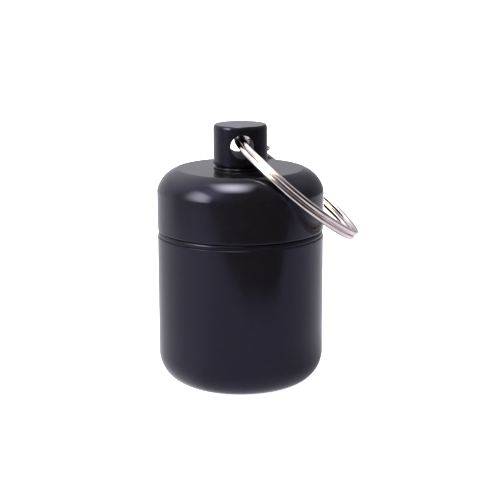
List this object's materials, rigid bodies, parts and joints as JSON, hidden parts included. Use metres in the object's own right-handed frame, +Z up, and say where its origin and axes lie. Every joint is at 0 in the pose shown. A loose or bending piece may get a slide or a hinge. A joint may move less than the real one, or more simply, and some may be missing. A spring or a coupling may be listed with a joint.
{
  "type": "pill fob",
  "caption": "Turned pill capsule for a key chain: rounded cup, screw cap with a convex shoulder, rubber seal, drilled post and a split ring.",
  "frame": {"origin": "centre of the flat foot, on the surface that the capsule stands on", "axes": "+Z up along the turning axis, Y along the post's cross hole, +X to the side that the split ring leans to"},
  "size_m": [0.0327, 0.027, 0.0424],
  "materials": {
    "anodised_black": "gloss black anodised, turned",
    "seal_rubber": "smooth black rubber",
    "nickel_steel": "bright nickel plate on spring steel"
  },
  "bodies": {
    "container": {"container": "anodised_black"},
    "seal": {"o_ring": "seal_rubber"},
    "cap": {"cap": "anodised_black", "lug": "anodised_black"},
    "key_ring": {"split_ring": "nickel_steel"}
  },
  "joints": [
    {"name": "cap_turn", "type": "hinge", "parent": "container", "child": "seal", "pos_m": [0, 0, 0.0255], "axis": [0, 0, 1], "range_deg": [0, 1800]},
    {"name": "cap_lift", "type": "slide", "parent": "seal", "child": "cap", "axis": [0, 0, 1], "range_m": [0, 0.00751]},
    {"name": "ring_swing", "type": "hinge", "parent": "cap", "child": "key_ring", "pos_m": [0, 0, 0.03926], "axis": [0, -1, 0], "range_deg": [0, 240]}
  ],
  "couplings": [
    {"joint": "cap_lift", "follows": "cap_turn", "m_per_rad": 0.00023873}
  ]
}
